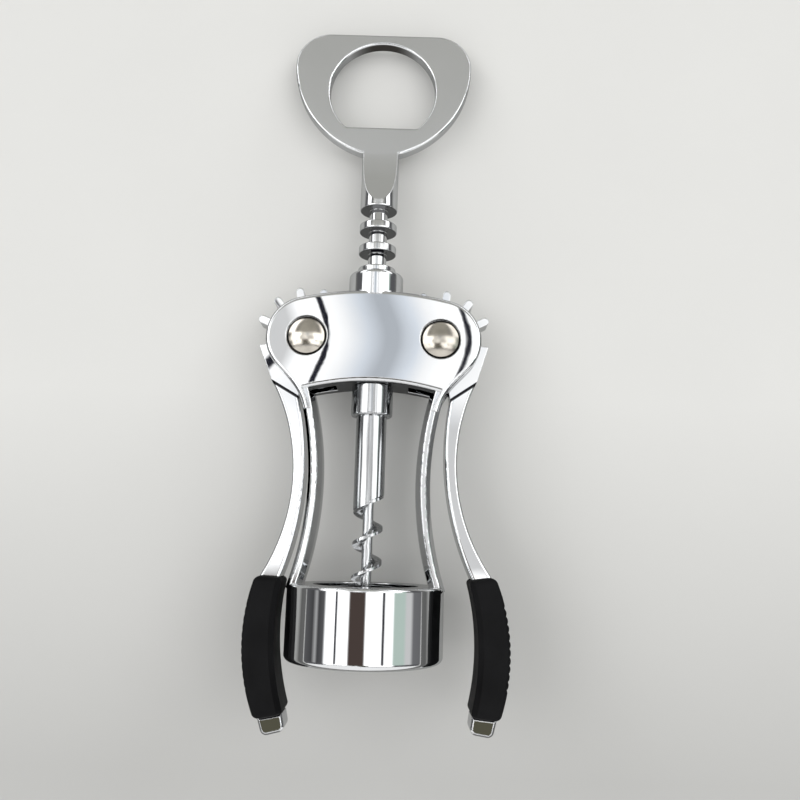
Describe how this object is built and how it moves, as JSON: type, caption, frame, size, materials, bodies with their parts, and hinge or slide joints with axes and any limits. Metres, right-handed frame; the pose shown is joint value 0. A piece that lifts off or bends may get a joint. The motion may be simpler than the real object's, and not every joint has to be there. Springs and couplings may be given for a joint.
{
  "type": "lever corkscrew",
  "caption": "Chrome lever corkscrew with a bell that stands on the bottle, geared side levers with black rubber grips, a steel worm and a cap lifter for its handle.",
  "frame": {"origin": "centre of the bell's mouth, on the screw's axis", "axes": "+Y along the screw from the bell to the handle, +Z out of the front face, +X to the right-hand lever; the tool lies on its back"},
  "size_m": [0.0642, 0.1825, 0.038],
  "materials": {
    "chrome": "bright chrome plate on a zinc casting",
    "steel": "turned steel with fine streaks along the shank",
    "nickel": "warm satin nickel on the rivet heads",
    "rubber": "matt black rubber, ribbed on the outer side"
  },
  "bodies": {
    "frame": {"frame": "chrome", "left_pivot_rivet": "nickel", "right_pivot_rivet": "nickel", "left_rivet_cap": "nickel", "right_rivet_cap": "nickel"},
    "carriage": {"stop_collar": "steel"},
    "screw": {"opener_head": "chrome", "worm": "steel"},
    "left_lever": {"left_lever": "chrome", "left_grip": "rubber"},
    "right_lever": {"right_lever": "chrome", "right_grip": "rubber"}
  },
  "joints": [
    {"name": "rack_slide", "type": "slide", "parent": "frame", "child": "carriage", "axis": [0, -1, 0], "range_m": [0, 0.028]},
    {"name": "screw_spin", "type": "hinge", "parent": "carriage", "child": "screw", "pos_m": [0, 0.067, 0], "axis": [0, -1, 0], "continuous": true},
    {"name": "left_lever_pivot", "type": "hinge", "parent": "frame", "child": "left_lever", "pos_m": [-0.0168, 0.0783, 0], "axis": [0, 0, -1], "range_deg": [0, 127.2]},
    {"name": "right_lever_pivot", "type": "hinge", "parent": "frame", "child": "right_lever", "pos_m": [0.0168, 0.0783, 0], "axis": [0, 0, 1], "range_deg": [0, 127.2]}
  ],
  "couplings": [
    {"joint": "left_lever_pivot", "follows": "rack_slide", "rad_per_m": 79.233},
    {"joint": "right_lever_pivot", "follows": "rack_slide", "rad_per_m": 79.233}
  ]
}
